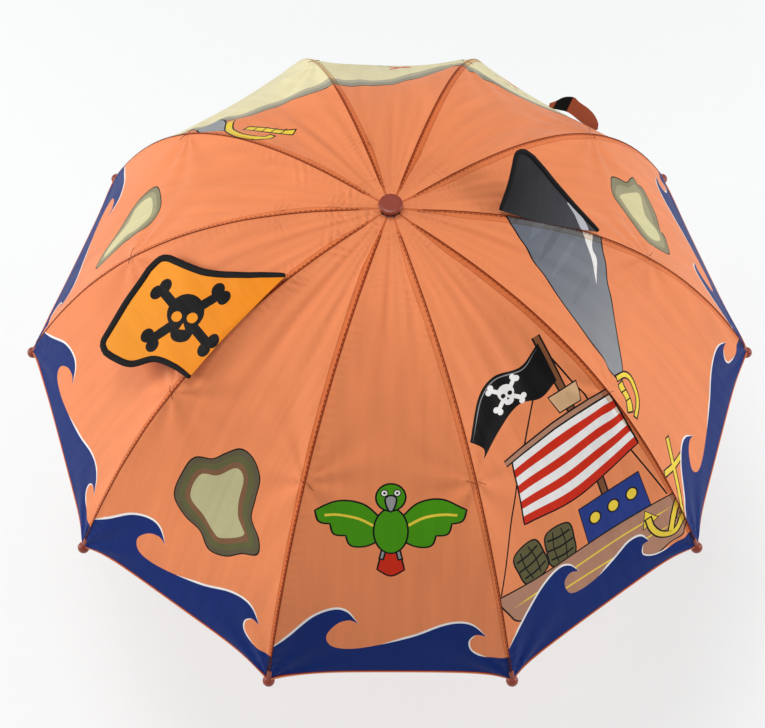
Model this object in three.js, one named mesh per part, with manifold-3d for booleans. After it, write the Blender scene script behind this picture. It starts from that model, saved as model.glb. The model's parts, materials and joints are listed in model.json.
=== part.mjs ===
// A child's manual stick umbrella, open: ten ribs, ten stretchers, a sliding runner and a ten-gore canopy.
// Millimetres, +Z up the shaft, origin at the middle of the hand grip.
import * as THREE from 'three';
import { mergeVertices } from 'three/addons/utils/BufferGeometryUtils.js';
import Module from 'manifold-3d';

const wasm = await Module();
wasm.setup();

// Driving dimensions.
const RIB_COUNT = 10;
const FIRST_RIB_DEG = -108;      // ribs 1 and 2 stand either side of the front, -Y
const CANOPY_RADIUS = 350;       // shaft axis to rib end
const CANOPY_DROP = 250;         // rib hinge plane down to rib end
const CROWN_HEIGHT = 560;        // rib hinge plane above the grip
const HINGE_RADIUS = 9;          // rib and stretcher eyes, from the shaft axis
const CROWN_REACH = 150;         // how far the rib runs level from the crown
const RIM_REACH = 210;           // how strongly it turns down at the rim
const RIM_SLOPE_DEG = 64;        // rib end below the horizontal
const JOINT_SHARE = 0.53;        // stretcher joint, as a share of the rib's length
const RIB_WIDTH = 2;
const RIB_DEPTH = 2.6;
const RIB_GAP = 1.8;             // from the joint to the end of the lower rib
const TIP_RADIUS = 5.5;
const PIN_DROP = 3.6;            // stretcher pin under the rib's centre line
const LUG_REACH = 2.2;           // lug before and below the pin
const STRETCHER_DEPTH = 2.4;
const FORK = { length: 12, width: 4.8, depth: 4.2, slotWidth: RIB_WIDTH + 0.7, slotLength: 9, overhang: 3 };
const SLOT_WIDTH = RIB_WIDTH + 0.8;
const CROWN_RING = { radius: 10.8, low: -3.4, high: 3.3 };
const CAP = { radius: 11, low: 3.7, high: 12.1, chamfer: 1.1 };
const SHAFT_RADIUS = 5;
const SHAFT_BORE = 4;
const SHAFT_TOP = 8.5;           // shaft's end above the rib hinge plane
const SHAFT_SEAT = 2.5;          // shaft's lower end above the grip's
const BORE_RADIUS = SHAFT_RADIUS + 0.3;
const RUNNER_RADIUS = 6.9;
const RUNNER_RING_RADIUS = 11.6;
const RUNNER_RING_DEPTH = 10;
const RUNNER_FOOT_RADIUS = 10.4;
const RUNNER_FOOT_DEPTH = 4;
const RUNNER_HEAD = 5;           // runner above the stretcher eyes
const RUNNER_TAIL = 50;          // runner below the stretcher eyes
const CLOSED_ANGLE_DEG = 86.5;   // stretcher above the horizontal, closed
const FABRIC_THICKNESS = 1;
const FABRIC_EDGE = 3;           // gore edge clear of the rib's middle plane
const FABRIC_START = 14;         // gores begin this far from the shaft axis
const FABRIC_END_SHARE = 0.985;  // and stop just short of the rib ends
const CATCH_WIDTH = 1;
const CATCH_LENGTH = 22;
const CATCH_INNER = 2.4;         // back of the catch's leaf, from the shaft axis
const CATCH_LEAF = 4.4;          // front of the leaf at its root
const CATCH_NOSE = 8.4;          // front of its nose, outside the shaft
const CATCH_NOSE_DEPTH = 3;
const CATCH_PLAY = 1;            // gap round the catch in the shaft's slot
const CATCH_CLEAR = 0.6;         // upper catch below the raised runner
const CATCH_REACH = 36;          // lower catch below the lowered stretcher eyes
const GRIP_RADIUS = 11;
const GRIP_TOP = 42;
const GRIP_BOTTOM = -40;
const CROOK_RADIUS = 26;
const CROOK_TUBE_RADIUS = 9;
const COLLAR_RADIUS = 13;
const COLLAR_DEPTH = 10;
const SEWN_THICKNESS = 1.2;      // flag, sword tip and strap

const gorePitch = 360 / RIB_COUNT;
const halfGore = THREE.MathUtils.degToRad(gorePitch / 2);

// Materials.
function finish(color, roughness, metalness = 0) {
  return new THREE.MeshStandardMaterial({ color, roughness, metalness });
}
const nylon = finish(0xd9814f, 0.55);
const steel = finish(0xb9bcc0, 0.35, 0.9);
const blackSteel = finish(0x2b2b2e, 0.4, 0.8);
const brownPlastic = finish(0x8f4a3c, 0.35);
const flagFabric = finish(0xf0a11c, 0.6);
const bladeFabric = finish(0x4a4a50, 0.6);

// Solids: a closed geometry becomes a manifold for cutting and joining, and comes back as a geometry.
function toSolid(geometry) {
  const bare = geometry.clone();
  bare.deleteAttribute('normal');
  bare.deleteAttribute('uv');
  const merged = mergeVertices(bare, 1e-4);
  return new wasm.Manifold(new wasm.Mesh({
    numProp: 3,
    vertProperties: new Float32Array(merged.attributes.position.array),
    triVerts: new Uint32Array(merged.index.array),
  }));
}

function toGeometry(solid) {
  const mesh = solid.getMesh();
  const geometry = new THREE.BufferGeometry();
  geometry.setAttribute('position', new THREE.BufferAttribute(mesh.vertProperties, 3));
  geometry.setIndex(new THREE.BufferAttribute(mesh.triVerts, 1));
  geometry.computeVertexNormals();
  return geometry;
}

function boxAt(width, depth, height, x, y, z) {
  return new THREE.BoxGeometry(width, depth, height).translate(x, y, z);
}

// A flat outline in (radius, height), extruded across the rib's plane: X is radial, Y tangential.
function bladeGeometry(outline, width) {
  const shape = new THREE.Shape(outline);
  const geometry = new THREE.ExtrudeGeometry(shape, { depth: width, bevelEnabled: false });
  return geometry.translate(0, 0, -width / 2).rotateX(Math.PI / 2);
}

// A plan outline extruded upwards between two heights.
function prismGeometry(shape, low, high) {
  const settings = { depth: high - low, bevelEnabled: false, curveSegments: 6 };
  return new THREE.ExtrudeGeometry(shape, settings).translate(0, 0, low);
}

// The rib's centre line in (radius, height), the height counted from the hinge plane.
const rimSlope = THREE.MathUtils.degToRad(RIM_SLOPE_DEG);
const ribEnd = new THREE.Vector2(CANOPY_RADIUS, -CANOPY_DROP);
const ribLine = new THREE.CubicBezierCurve(
  new THREE.Vector2(HINGE_RADIUS, 0),
  new THREE.Vector2(HINGE_RADIUS + CROWN_REACH, 0),
  new THREE.Vector2(ribEnd.x - RIM_REACH * Math.cos(rimSlope), ribEnd.y + RIM_REACH * Math.sin(rimSlope)),
  ribEnd,
);
const ribLength = ribLine.getLength();

// A point beside the centre line, positive above it.
function besideRib(share, height) {
  const tangent = ribLine.getTangentAt(share);
  return ribLine.getPointAt(share).add(new THREE.Vector2(-tangent.y, tangent.x).multiplyScalar(height));
}

// A strip that follows the centre line between two shares of its length.
function ribStrip(from, to, steps, half) {
  const lower = [];
  const upper = [];
  for (let i = 0; i <= steps; i += 1) {
    const share = from + ((to - from) * i) / steps;
    lower.push(besideRib(share, -half));
    upper.unshift(besideRib(share, half));
  }
  return [...lower, ...upper];
}

// The linkage: rib hinge, stretcher pin and runner eye form an equal-sided triangle on the shaft.
const jointPoint = ribLine.getPointAt(JOINT_SHARE);
const stretcherPin = besideRib(JOINT_SHARE, -PIN_DROP);
const runnerEye = new THREE.Vector2(HINGE_RADIUS, 2 * stretcherPin.y);
const stretcherAngle = Math.atan2(stretcherPin.y - runnerEye.y, stretcherPin.x - runnerEye.x);
const stretcherLength = stretcherPin.distanceTo(runnerEye);
const closedEye = -2 * stretcherLength * Math.sin(THREE.MathUtils.degToRad(CLOSED_ANGLE_DEG));

// Upper rib: hub eye to stretcher joint, with the lug that the stretcher's fork straddles.
function upperRibGeometry() {
  const half = RIB_DEPTH / 2;
  const outline = ribStrip(0, JOINT_SHARE, 9, half);
  const inwards = ribLine.getTangentAt(0).multiplyScalar(-half);
  outline[0].add(inwards);
  outline[outline.length - 1].add(inwards);
  const rod = toSolid(bladeGeometry(outline, RIB_WIDTH));
  const lugDepth = PIN_DROP + LUG_REACH;
  const slope = ribLine.getTangentAt(JOINT_SHARE).angle();
  const lug = boxAt(2 * LUG_REACH, RIB_WIDTH, lugDepth, -LUG_REACH, 0, -lugDepth / 2)
    .rotateY(-slope)
    .translate(jointPoint.x, 0, jointPoint.y);
  return toGeometry(rod.add(toSolid(lug)));
}

// Lower rib: stretcher joint to rim, with the round tip pressed on its end.
function lowerRibGeometry() {
  const outline = ribStrip(JOINT_SHARE + RIB_GAP / ribLength, 1, 7, RIB_DEPTH / 2);
  const rod = toSolid(bladeGeometry(outline, RIB_WIDTH));
  const ball = new THREE.SphereGeometry(TIP_RADIUS, 10, 8).translate(ribEnd.x, 0, ribEnd.y);
  return toGeometry(rod.add(toSolid(ball)));
}

// Stretcher: runner eye to a fork that holds the rib's lug.
function stretcherGeometry() {
  const half = STRETCHER_DEPTH / 2;
  const forkEnd = stretcherLength + FORK.overhang;
  const rodEnd = stretcherLength - FORK.slotLength + FORK.overhang;
  const rod = boxAt(rodEnd + half, RIB_WIDTH, STRETCHER_DEPTH, (rodEnd - half) / 2, 0, 0);
  const block = boxAt(FORK.length, FORK.width, FORK.depth, forkEnd - FORK.length / 2, 0, 0);
  const slotMiddle = forkEnd - FORK.slotLength / 2 + 0.5;
  const slot = boxAt(FORK.slotLength, FORK.slotWidth, 2 * FORK.depth, slotMiddle, 0, 0);
  const solid = toSolid(rod).add(toSolid(block)).subtract(toSolid(slot));
  return toGeometry(solid).rotateY(-stretcherAngle).translate(runnerEye.x, 0, runnerEye.y);
}

// Gores: a strip of the canopy's curve, run across the gore and trimmed to its wedge between two ribs.
const wedgeApex = FABRIC_EDGE / Math.sin(halfGore);
const wedge = new THREE.Shape([
  new THREE.Vector2(wedgeApex, 0),
  new THREE.Vector2(wedgeApex + CANOPY_RADIUS, -CANOPY_RADIUS * Math.tan(halfGore)),
  new THREE.Vector2(wedgeApex + CANOPY_RADIUS, CANOPY_RADIUS * Math.tan(halfGore)),
]);

function shareAtRadius(radius) {
  let share = 0;
  while (ribLine.getPointAt(share).x < radius) share += 0.001;
  return share;
}

function goreGeometry(from, to, steps) {
  const outline = ribStrip(from, to, steps, FABRIC_THICKNESS / 2);
  const inMiddlePlane = outline.map((point) => new THREE.Vector2(point.x * Math.cos(halfGore), point.y));
  const strip = toSolid(bladeGeometry(inMiddlePlane, 2 * CANOPY_RADIUS));
  return toGeometry(strip.intersect(toSolid(prismGeometry(wedge, -CANOPY_DROP - 50, 50))));
}

// A ring with a radial slot for every rib; the runner's rings leave out the tooth at the front, -Y.
function notchedSolid(outer, low, high, firstTooth) {
  const slotBottom = RUNNER_RADIUS - 0.3;
  const slotHalf = Math.asin(SLOT_WIDTH / 2 / slotBottom);
  const toothHalf = Math.asin(SLOT_WIDTH / 2 / outer);
  const polar = (radius, angle) => new THREE.Vector2(radius * Math.cos(angle), radius * Math.sin(angle));
  const outline = [];
  for (let k = 0; k < RIB_COUNT; k += 1) {
    const first = THREE.MathUtils.degToRad(FIRST_RIB_DEG + gorePitch * k);
    const last = first + 2 * halfGore;
    outline.push(polar(slotBottom, first + slotHalf));
    if (k >= firstTooth) {
      outline.push(polar(outer, first + toothHalf));
      outline.push(polar(outer, first + halfGore));
      outline.push(polar(outer, last - toothHalf));
    }
    outline.push(polar(slotBottom, last - slotHalf));
  }
  const shape = new THREE.Shape(outline);
  shape.holes.push(new THREE.Path().absarc(0, 0, BORE_RADIUS, 0, 2 * Math.PI, true));
  return toSolid(prismGeometry(shape, low, high));
}

function crownNotchGeometry() {
  return toGeometry(notchedSolid(CROWN_RING.radius, CROWN_RING.low, CROWN_RING.high, 0));
}

// Runner: a tube with a slotted ring at each end, slit at the front for the catches to pass.
function runnerGeometry() {
  const top = runnerEye.y + RUNNER_HEAD;
  const bottom = runnerEye.y - RUNNER_TAIL;
  const tube = new THREE.LatheGeometry([
    new THREE.Vector2(BORE_RADIUS, bottom),
    new THREE.Vector2(RUNNER_RADIUS, bottom),
    new THREE.Vector2(RUNNER_RADIUS, top),
    new THREE.Vector2(BORE_RADIUS, top),
    new THREE.Vector2(BORE_RADIUS, bottom),
  ], 24).rotateX(Math.PI / 2);
  const reach = 2 * RUNNER_RING_RADIUS;
  const slit = boxAt(CATCH_WIDTH + 1, reach, top - bottom + reach, 0, -reach / 2, (top + bottom) / 2);
  return toGeometry(toSolid(tube)
    .add(notchedSolid(RUNNER_RING_RADIUS, top - RUNNER_RING_DEPTH, top, 1))
    .add(notchedSolid(RUNNER_FOOT_RADIUS, bottom, bottom + RUNNER_FOOT_DEPTH, 1))
    .subtract(toSolid(slit)));
}

// Shaft: a plain tube from inside the grip to inside the cap, slotted for the two catches.
const catchTop = runnerEye.y - RUNNER_TAIL - CATCH_CLEAR;
const catchBottom = closedEye - CATCH_REACH;

function shaftGeometry() {
  const bottom = GRIP_BOTTOM + SHAFT_SEAT - CROWN_HEIGHT;
  const tube = new THREE.LatheGeometry([
    new THREE.Vector2(SHAFT_BORE, bottom),
    new THREE.Vector2(SHAFT_RADIUS, bottom),
    new THREE.Vector2(SHAFT_RADIUS, SHAFT_TOP),
    new THREE.Vector2(SHAFT_BORE, SHAFT_TOP),
    new THREE.Vector2(SHAFT_BORE, bottom),
  ], 20).rotateX(Math.PI / 2);
  const width = CATCH_WIDTH + CATCH_PLAY;
  const length = CATCH_LENGTH + 2 * CATCH_PLAY;
  const slotAt = (middle) => boxAt(width, SHAFT_RADIUS, length, 0, -SHAFT_RADIUS, middle);
  return toGeometry(toSolid(tube)
    .subtract(toSolid(slotAt(catchTop - CATCH_LENGTH / 2)))
    .subtract(toSolid(slotAt(catchBottom + CATCH_LENGTH / 2))));
}

// Catch: a sprung leaf whose nose stands out of the shaft; the upper one has its flat face up.
function catchGeometry(face, direction) {
  const at = (radius, height) => new THREE.Vector2(radius, face + direction * height);
  const outline = [
    at(CATCH_INNER, 0),
    at(CATCH_NOSE, 0),
    at(CATCH_NOSE, CATCH_NOSE_DEPTH),
    at(CATCH_LEAF, CATCH_LENGTH),
    at(CATCH_INNER, CATCH_LENGTH),
  ];
  return bladeGeometry(outline, CATCH_WIDTH).rotateZ(-Math.PI / 2);
}

// Ferrule cap: a round button over the crown, hollowed for the shaft's end.
function capGeometry() {
  const bore = SHAFT_TOP + 0.4;
  return new THREE.LatheGeometry([
    new THREE.Vector2(0, bore),
    new THREE.Vector2(BORE_RADIUS, bore),
    new THREE.Vector2(BORE_RADIUS, CAP.low),
    new THREE.Vector2(CAP.radius, CAP.low),
    new THREE.Vector2(CAP.radius, CAP.high - CAP.chamfer),
    new THREE.Vector2(CAP.radius - CAP.chamfer, CAP.high),
    new THREE.Vector2(0, CAP.high),
  ], 24).rotateX(Math.PI / 2);
}

// Handle: a grip with a collar, running on into a crook that turns up on the +X side.
function handleGeometry() {
  const quarter = CROOK_RADIUS * 0.5523;    // how far a cubic curve's handles reach for a quarter circle
  const at = (x, z) => new THREE.Vector3(x, 0, z);
  const low = GRIP_BOTTOM - CROOK_RADIUS;
  const far = 2 * CROOK_RADIUS;
  const path = new THREE.CurvePath();
  path.add(new THREE.LineCurve3(at(0, GRIP_BOTTOM + 12), at(0, GRIP_BOTTOM)));
  path.add(new THREE.CubicBezierCurve3(
    at(0, GRIP_BOTTOM),
    at(0, GRIP_BOTTOM - quarter),
    at(CROOK_RADIUS - quarter, low),
    at(CROOK_RADIUS, low),
  ));
  path.add(new THREE.CubicBezierCurve3(
    at(CROOK_RADIUS, low),
    at(CROOK_RADIUS + quarter, low),
    at(far, GRIP_BOTTOM - quarter),
    at(far, GRIP_BOTTOM),
  ));
  path.add(new THREE.LineCurve3(at(far, GRIP_BOTTOM), at(far, GRIP_BOTTOM + 10)));
  const section = new THREE.Shape().absarc(0, 0, CROOK_TUBE_RADIUS, 0, 2 * Math.PI, false);
  const settings = { extrudePath: path, steps: 18, curveSegments: 8, bevelEnabled: false };
  const crook = new THREE.ExtrudeGeometry(section, settings);
  const grip = new THREE.LatheGeometry([
    new THREE.Vector2(0, GRIP_BOTTOM - 2),
    new THREE.Vector2(CROOK_TUBE_RADIUS - 1, GRIP_BOTTOM - 2),
    new THREE.Vector2(GRIP_RADIUS, GRIP_BOTTOM + COLLAR_DEPTH),
    new THREE.Vector2(GRIP_RADIUS, GRIP_TOP - COLLAR_DEPTH),
    new THREE.Vector2(COLLAR_RADIUS, GRIP_TOP - 0.7 * COLLAR_DEPTH),
    new THREE.Vector2(COLLAR_RADIUS, GRIP_TOP - 0.3 * COLLAR_DEPTH),
    new THREE.Vector2(GRIP_RADIUS - 2, GRIP_TOP),
    new THREE.Vector2(0, GRIP_TOP),
  ], 20).rotateX(Math.PI / 2);
  const depth = GRIP_TOP - GRIP_BOTTOM - 2;
  const bore = new THREE.CylinderGeometry(BORE_RADIUS, BORE_RADIUS, depth + 2, 20)
    .rotateX(Math.PI / 2)
    .translate(0, 0, GRIP_TOP - depth / 2 + 1);
  return toGeometry(toSolid(crook).add(toSolid(grip)).subtract(toSolid(bore)));
}

// A flat outline in its own plane, given its thickness.
function sewnGeometry(outline) {
  const shape = new THREE.Shape(outline.map(([x, y]) => new THREE.Vector2(x, y)));
  return prismGeometry(shape, -SEWN_THICKNESS / 2, SEWN_THICKNESS / 2);
}

// A pop-up piece sewn into a seam: it lies over the rib's chord between two shares of its length,
// lifted, and leans over the gore on its side, +1 counter-clockwise. Its outline's x runs along the
// chord, y away from it.
function flapGeometry({ outline, fromShare, toShare, lift, leanDeg, side }) {
  const start = besideRib(fromShare, lift);
  const end = besideRib(toShare, lift);
  const along = new THREE.Vector3(end.x - start.x, 0, end.y - start.y).normalize();
  const upward = new THREE.Vector3(-along.z, 0, along.x);
  const lean = THREE.MathUtils.degToRad(leanDeg);
  const away = new THREE.Vector3(0, side * Math.cos(lean), 0).addScaledVector(upward, Math.sin(lean));
  const normal = new THREE.Vector3().crossVectors(along, away);
  const frame = new THREE.Matrix4().makeBasis(along, away, normal).setPosition(start.x, 0, start.y);
  return sewnGeometry(outline).applyMatrix4(frame);
}

const flag = {
  outline: [[2, 2], [113, 2], [158, 76], [84, 98]],
  fromShare: 0.22,
  toShare: 0.47,
  lift: 7.5,
  leanDeg: -5,
  side: -1,
};
const swordTip = {
  outline: [[2, 2], [90, 2], [66, 19], [36, 38], [13, 52], [4, 46]],
  fromShare: 0.19,
  toShare: 0.395,
  lift: 6.5,
  leanDeg: 30,
  side: 1,
};

// Closure strap: tape that stands on its edge across a gore near the rim, its free end raised.
// Its outline runs across the gore from the middle plane, its height outwards from the canopy's curve.
const STRAP_SHARE = 0.72;
const strapOutline = [
  [-54, 1.6], [0, 1.6], [-3, 5], [-9, 11], [-18, 15], [-25, 13], [-36, 11], [-44, 8], [-50, 4.5],
];
function strapGeometry() {
  const place = ribLine.getPointAt(STRAP_SHARE);
  const slope = ribLine.getTangentAt(STRAP_SHARE);
  const across = new THREE.Vector3(0, 1, 0);
  const outward = new THREE.Vector3(-slope.y, 0, slope.x * Math.cos(halfGore)).normalize();
  const frame = new THREE.Matrix4()
    .makeBasis(across, outward, new THREE.Vector3().crossVectors(across, outward))
    .setPosition(place.x * Math.cos(halfGore), 0, place.y);
  return sewnGeometry(strapOutline).applyMatrix4(frame);
}

// Assembly.
const umbrella = new THREE.Group();
const crown = new THREE.Group();
crown.position.z = CROWN_HEIGHT;
umbrella.add(crown);

function addPiece(parent, name, geometry, material) {
  const mesh = new THREE.Mesh(geometry, material);
  mesh.name = name;
  parent.add(mesh);
  return mesh;
}

function turned(degrees) {
  const group = new THREE.Group();
  group.rotation.z = THREE.MathUtils.degToRad(degrees);
  crown.add(group);
  return group;
}

const numbered = (name, index) => `${name}_${String(index + 1).padStart(2, '0')}`;
const upperRib = upperRibGeometry();
const lowerRib = lowerRibGeometry();
const stretcher = stretcherGeometry();
const hingeShare = 0.5 / ribLength;
const upperGore = goreGeometry(shareAtRadius(FABRIC_START), JOINT_SHARE - hingeShare, 7);
const lowerGore = goreGeometry(JOINT_SHARE + hingeShare, FABRIC_END_SHARE, 5);

for (let k = 0; k < RIB_COUNT; k += 1) {
  const ribFrame = turned(FIRST_RIB_DEG + gorePitch * k);
  addPiece(ribFrame, numbered('rib_upper', k), upperRib, blackSteel);
  addPiece(ribFrame, numbered('rib_lower', k), lowerRib, blackSteel);
  addPiece(ribFrame, numbered('stretcher', k), stretcher, blackSteel);
  const goreFrame = turned(FIRST_RIB_DEG + gorePitch * (k + 0.5));
  addPiece(goreFrame, numbered('gore_upper', k), upperGore, nylon);
  addPiece(goreFrame, numbered('gore_lower', k), lowerGore, nylon);
  if (k === 3) addPiece(ribFrame, 'sword_tip', flapGeometry(swordTip), bladeFabric);
  if (k === 4) addPiece(goreFrame, 'strap', strapGeometry(), nylon);
  if (k === 9) addPiece(ribFrame, 'flag', flapGeometry(flag), flagFabric);
}

addPiece(crown, 'crown_notch', crownNotchGeometry(), brownPlastic);
addPiece(crown, 'ferrule_cap', capGeometry(), brownPlastic);
addPiece(crown, 'shaft', shaftGeometry(), steel);
addPiece(crown, 'runner', runnerGeometry(), brownPlastic);
addPiece(crown, 'catch_top', catchGeometry(catchTop, -1), steel);
addPiece(crown, 'catch_bottom', catchGeometry(catchBottom, 1), steel);
addPiece(umbrella, 'handle', handleGeometry(), brownPlastic);

export default umbrella;
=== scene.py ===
"""A child's stick umbrella: a ten-gore printed canopy on ten ribs, with a pop-up flag and sword tip.

Sizes are in millimetres, as in the CAD, until a piece's vertices are made, which are in metres.
A gore is drawn flat: u runs across it, counter-clockwise from its middle, and v from the crown to the rim.
"""
import json
import math

import bpy
import bmesh
import numpy as np
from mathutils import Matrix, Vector
from mathutils.geometry import delaunay_2d_cdt


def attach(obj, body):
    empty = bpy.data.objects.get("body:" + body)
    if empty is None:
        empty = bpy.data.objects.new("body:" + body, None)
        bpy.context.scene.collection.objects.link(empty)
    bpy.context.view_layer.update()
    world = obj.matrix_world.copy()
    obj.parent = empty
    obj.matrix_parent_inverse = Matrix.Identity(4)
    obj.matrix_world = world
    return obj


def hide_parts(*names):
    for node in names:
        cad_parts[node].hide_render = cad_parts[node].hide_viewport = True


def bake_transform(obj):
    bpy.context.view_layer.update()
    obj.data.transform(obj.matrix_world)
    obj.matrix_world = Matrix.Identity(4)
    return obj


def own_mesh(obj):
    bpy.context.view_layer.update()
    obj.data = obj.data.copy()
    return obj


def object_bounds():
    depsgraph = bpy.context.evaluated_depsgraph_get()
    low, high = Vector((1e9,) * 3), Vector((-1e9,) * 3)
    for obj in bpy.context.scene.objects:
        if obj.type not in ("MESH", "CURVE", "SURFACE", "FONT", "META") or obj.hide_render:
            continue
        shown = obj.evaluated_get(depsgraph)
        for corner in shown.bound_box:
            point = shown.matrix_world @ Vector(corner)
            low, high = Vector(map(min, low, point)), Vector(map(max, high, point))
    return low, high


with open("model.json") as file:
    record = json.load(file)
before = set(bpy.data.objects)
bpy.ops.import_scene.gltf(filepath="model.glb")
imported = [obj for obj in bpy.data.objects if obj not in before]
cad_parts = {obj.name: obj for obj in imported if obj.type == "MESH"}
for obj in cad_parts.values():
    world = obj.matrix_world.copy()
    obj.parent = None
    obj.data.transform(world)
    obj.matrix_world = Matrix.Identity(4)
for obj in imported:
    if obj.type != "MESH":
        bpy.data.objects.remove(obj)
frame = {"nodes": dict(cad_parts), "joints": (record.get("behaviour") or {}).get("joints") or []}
cad_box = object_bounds()

MM = 0.001
GORES = 10
PITCH = 2 * math.pi / GORES
HALF = PITCH / 2
FIRST_RIB = math.radians(-108)
CROWN_HEIGHT = 560
JOINT_SHARE = 0.53
RIM_SLOPE = math.radians(64)
EYE_RADIUS = 9               # rib and stretcher eyes, from the shaft's axis
RIB_END = (350, -250)
RIM_REACH = 210              # how strongly the rib turns down at the rim
RIB_CONTROL = (
    (EYE_RADIUS, 0),
    (EYE_RADIUS + 150, 0),
    (RIB_END[0] - RIM_REACH * math.cos(RIM_SLOPE), RIB_END[1] + RIM_REACH * math.sin(RIM_SLOPE)),
    RIB_END,
)
ROD_RADIUS = 1.3
TIP_RADIUS = 5.5
FABRIC_LIFT = 1.9            # cloth above the rib's centre line
CROWN_LIFT = 1.6             # further lift where the cloth passes under the cap
CLOTH = 0.3                  # thickness of the cloth
GORE_SAG = 8                 # how far a gore's middle lies below its ribs' curve
OUTLINE = 1.6                # black line round a printed shape
HEM_MIDDLE = 439             # where the hem lies at the middle of a gore
HEM_CORNER = 449
UNDERSIDE_FADE = 0.5         # how much of the print shows through on the inner face


# ---------------------------------------------------------------- colours
def rgb(red, green, blue):
    """Linear colour of an sRGB one, each part from 0 to 255."""
    parts = np.array((red, green, blue)) / 255
    return np.where(parts <= 0.04045, parts / 12.92, ((parts + 0.055) / 1.055) ** 2.4)


ORANGE = rgb(232, 137, 89)
BLACK = rgb(15, 13, 15)
WHITE = rgb(236, 234, 232)
SEA_BLUE = rgb(8, 38, 108)
YELLOW = rgb(236, 206, 66)
BROWN = rgb(176, 128, 104)
RED = rgb(204, 42, 18)
GREEN = rgb(70, 146, 12)
GREY = rgb(150, 150, 152)
OLIVE = rgb(92, 88, 56)
CREAM = rgb(226, 216, 172)


def fade(start, end, first, last):
    """An ink that turns from one colour to another between two points of the flat pattern."""
    start, end = np.array(start, float), np.array(end, float)

    def ink(points, _):
        along = (points - start) @ (end - start) / np.sum((end - start) ** 2)
        along = np.clip(along, 0, 1)[:, None]
        return first * (1 - along) + last * along

    return ink


def tint(red, green, blue):
    """An ink that shows what is under it, darkened by those shares."""
    return lambda _, under: under * np.array((red, green, blue))


# ---------------------------------------------------------------- flat outlines
def smooth(stroke, closed=False, step=2.5):
    """A curve through a stroke's points, with a point about every step."""
    p = np.asarray(stroke, float)
    if closed:
        p = np.vstack([p[-1:], p, p[:2]])
    else:
        p = np.vstack([2 * p[:1] - p[1:2], p, 2 * p[-1:] - p[-2:-1]])
    pieces = []
    for a, b, c, d in zip(p, p[1:], p[2:], p[3:]):
        count = max(1, round(float(np.linalg.norm(c - b)) / step))
        t = np.arange(count)[:, None] / count
        straight, bend, twist = 0.5 * (c - a), a - 2.5 * b + 2 * c - 0.5 * d, 0.5 * (3 * b - a - 3 * c + d)
        pieces.append(b + straight * t + bend * t**2 + twist * t**3)
    if not closed:
        pieces.append(p[-2:-1])
    return np.vstack(pieces)


def cornered(*strokes):
    """A closed outline of curved strokes that meet at corners."""
    return np.vstack([smooth(stroke)[:-1] for stroke in strokes])


def open_path(strokes, step=2.5):
    """Curved strokes that meet at corners, from the first point to the last."""
    last = np.array([strokes[-1][-1]], float)
    return np.vstack([smooth(stroke, step=step)[:-1] for stroke in strokes] + [last])


def ellipse(centre, across, down, tilt=0, count=20):
    turn = np.linspace(0, 2 * math.pi, count, endpoint=False)
    x, y = across * np.cos(turn), down * np.sin(turn)
    c, s = math.cos(tilt), math.sin(tilt)
    return np.column_stack([centre[0] + c * x - s * y, centre[1] + s * x + c * y])


def side_vectors(path, closed):
    """Unit vectors to the right of a path, at its points."""
    if closed:
        run = np.roll(path, -1, 0) - np.roll(path, 1, 0)
    else:
        run = np.gradient(path, axis=0)
    run /= np.maximum(np.linalg.norm(run, axis=1, keepdims=True), 1e-9)
    return np.column_stack([run[:, 1], -run[:, 0]])


def flat_area(loop):
    x, y = loop.T
    return 0.5 * float(np.sum(x * np.roll(y, -1) - np.roll(x, -1) * y))


def grown(loop, distance):
    """The outline moved outwards, or inwards for a distance below zero."""
    return loop + side_vectors(loop, True) * distance * math.copysign(1, flat_area(loop))


def band(path, width, taper=0.0):
    """A line of that width along an open path, narrowing towards both ends over taper's share of it."""
    share = np.linspace(0, 1, len(path))
    narrow = np.ones(len(path))
    if taper:
        narrow = np.clip(np.minimum(share, 1 - share) / taper, 0.12, 1)
    side = side_vectors(path, False) * (narrow * width / 2)[:, None]
    return np.vstack([path + side, (path - side)[::-1]])


def line(points, width, ink=BLACK, taper=0.0):
    return [(band(smooth(points), width, taper), ink)]


def outlined(loop, ink, width=OUTLINE):
    """A shape with a black line round it."""
    return [(grown(loop, width), BLACK), (loop, ink)]


def bold(paths, width, ink):
    """Lines of one ink that share a black line round them, ends and all."""
    prints = []
    for path in paths:
        path = np.array(path, float)
        first, last = ((end - near) / np.linalg.norm(end - near) for end, near in (path[:2], path[:-3:-1]))
        longer = np.vstack([path[0] + first * OUTLINE, path[1:-1], path[-1] + last * OUTLINE])
        prints += line(longer, width + 2 * OUTLINE)
    return prints + [part for path in paths for part in line(path, width, ink)]


def inside(points, loop):
    """Which points lie inside a closed outline."""
    x, y = points[:, :1], points[:, 1:]
    ax, ay = loop.T
    bx, by = np.roll(loop, -1, 0).T
    rise = np.where(np.abs(by - ay) < 1e-12, 1e-12, by - ay)
    crossing = (ay <= y) != (by <= y)
    left = x < ax + (y - ay) / rise * (bx - ax)
    return np.sum(np.where(crossing & left, np.sign(rise), 0), axis=1) != 0


# ---------------------------------------------------------------- rib line and canopy surface
def bezier(control, t):
    p = np.asarray(control, float)
    t = np.asarray(t, float)[:, None]
    s = 1 - t
    return s**3 * p[0] + 3 * s * s * t * p[1] + 3 * s * t * t * p[2] + t**3 * p[3]


rib_curve = bezier(RIB_CONTROL, np.linspace(0, 1, 1601))
rib_run = np.concatenate([[0], np.cumsum(np.linalg.norm(np.diff(rib_curve, axis=0), axis=1))])
rib_slope = np.gradient(rib_curve, rib_run, axis=0)
RIB_LENGTH = float(rib_run[-1])
JOINT_AT = JOINT_SHARE * RIB_LENGTH


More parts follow.
